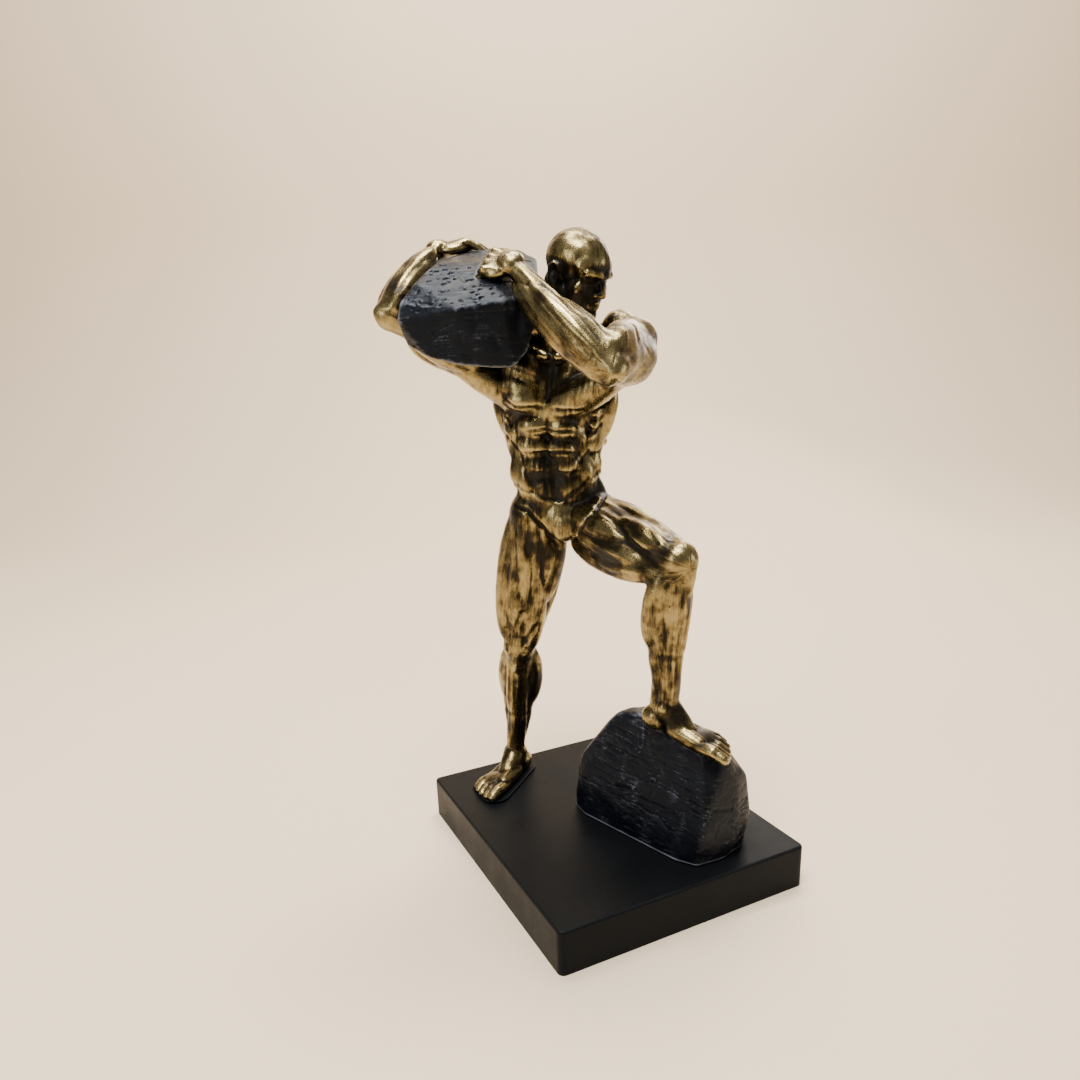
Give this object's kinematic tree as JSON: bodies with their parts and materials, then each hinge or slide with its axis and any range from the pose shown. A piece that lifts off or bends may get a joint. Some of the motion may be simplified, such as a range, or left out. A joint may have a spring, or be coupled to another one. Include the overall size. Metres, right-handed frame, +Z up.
{
  "type": "strongman statue",
  "caption": "Statuette of a muscular bald man who carries a boulder on his shoulder and rests a foot on a rock, on a rectangular black plinth",
  "frame": {"origin": "middle of the plinth's underside", "axes": "+Z up; +X along the plinth's short front side, to the right of someone who faces it; +Y to the back along its long side"},
  "size_m": [0.1737, 0.174, 0.3437],
  "materials": {
    "antique_bronze": "antique bronze paint with a black wash in the hollows",
    "dark_stone": "blue-black paint, dry-brushed with grey, semi-gloss",
    "black_plinth": "satin black paint"
  },
  "bodies": {
    "root": {"plinth": "black_plinth", "foot_rock": "dark_stone", "strongman": "antique_bronze", "carried_boulder": "dark_stone"}
  },
  "joints": []
}
